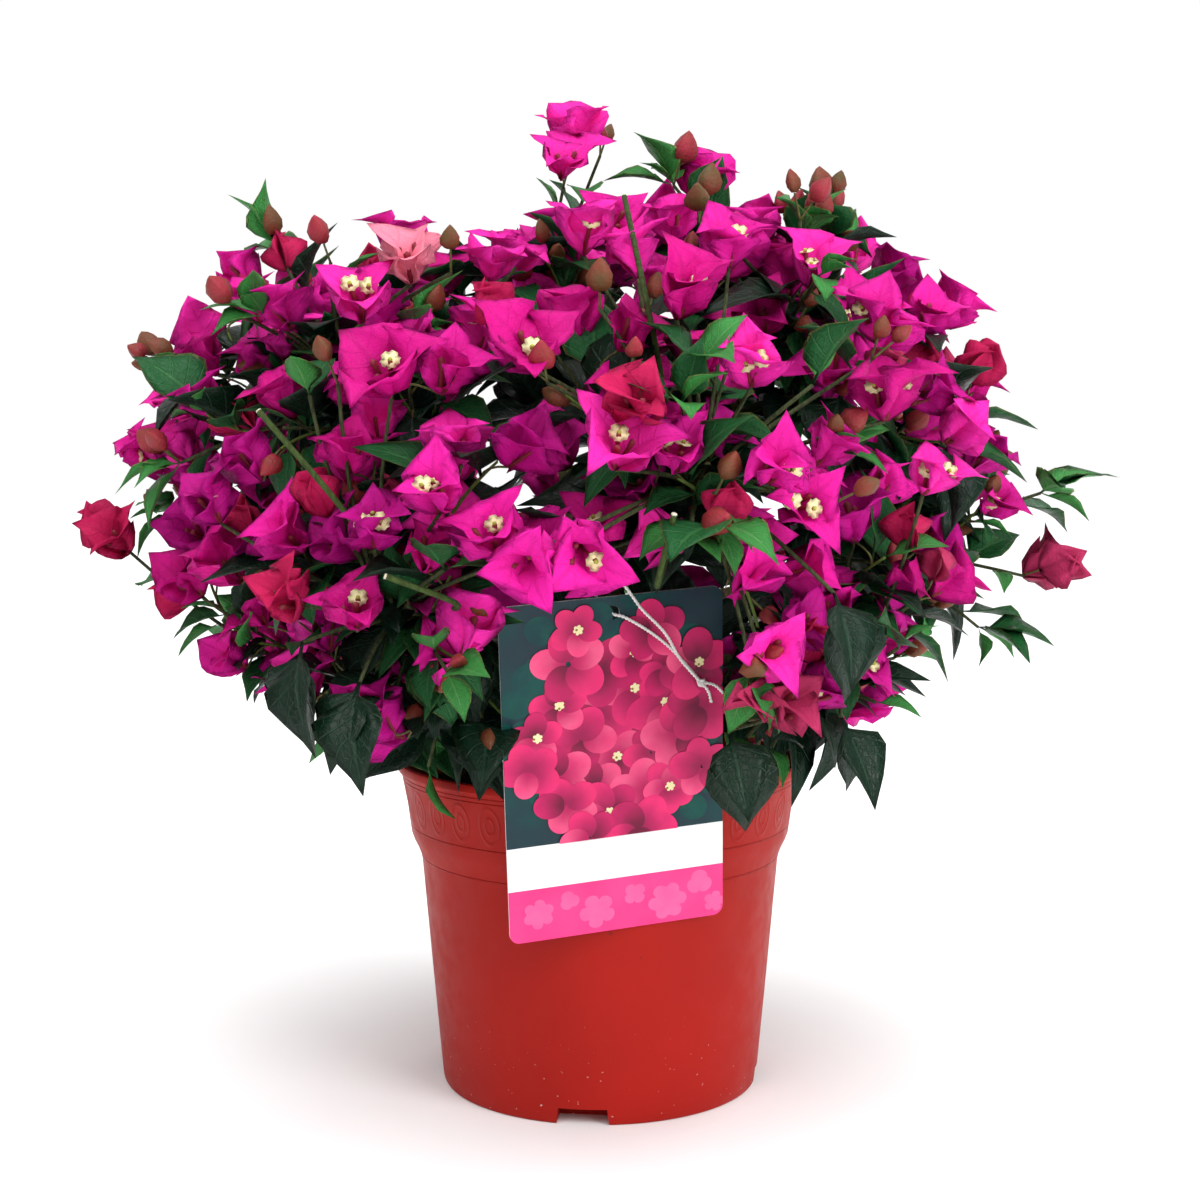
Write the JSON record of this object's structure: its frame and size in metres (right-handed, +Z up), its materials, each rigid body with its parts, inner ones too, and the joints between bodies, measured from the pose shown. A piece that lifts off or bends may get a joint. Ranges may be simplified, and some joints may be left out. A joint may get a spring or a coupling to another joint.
{
  "type": "potted bougainvillea bush",
  "caption": "Rounded flowering bush with papery pink bracts, leaves and a short trunk, in a tapered round nursery pot with a care tag hung in front.",
  "frame": {"origin": "centre of the pot's flat underside, on the pot's axis, where it stands on the floor", "axes": "+Z up along the pot's axis, -Y towards the side where the care tag hangs, +X to the right seen from that side"},
  "size_m": [0.4192, 0.3533, 0.413],
  "materials": {
    "pot": "satin",
    "soil": "matt, crumbly",
    "bark": "rough",
    "foliage": "matt, papery",
    "tag": "smooth print",
    "string": "twisted"
  },
  "bodies": {
    "root": {"pot": "pot", "potting_soil": "soil", "trunk": "bark", "bough_01": "bark", "bough_02": "bark", "bough_03": "bark", "bough_04": "bark", "bough_05": "bark", "bough_06": "bark", "bough_07": "bark", "bough_08": "bark", "bough_09": "bark", "bough_10": "bark", "bough_11": "bark", "foliage_01": "foliage", "foliage_02": "foliage", "foliage_03": "foliage", "foliage_04": "foliage", "foliage_05": "foliage", "foliage_06": "foliage", "foliage_07": "foliage", "foliage_08": "foliage", "foliage_09": "foliage", "foliage_10": "foliage", "foliage_11": "foliage", "foliage_12": "foliage", "care_tag": "tag", "tag_string": "string"}
  },
  "joints": []
}
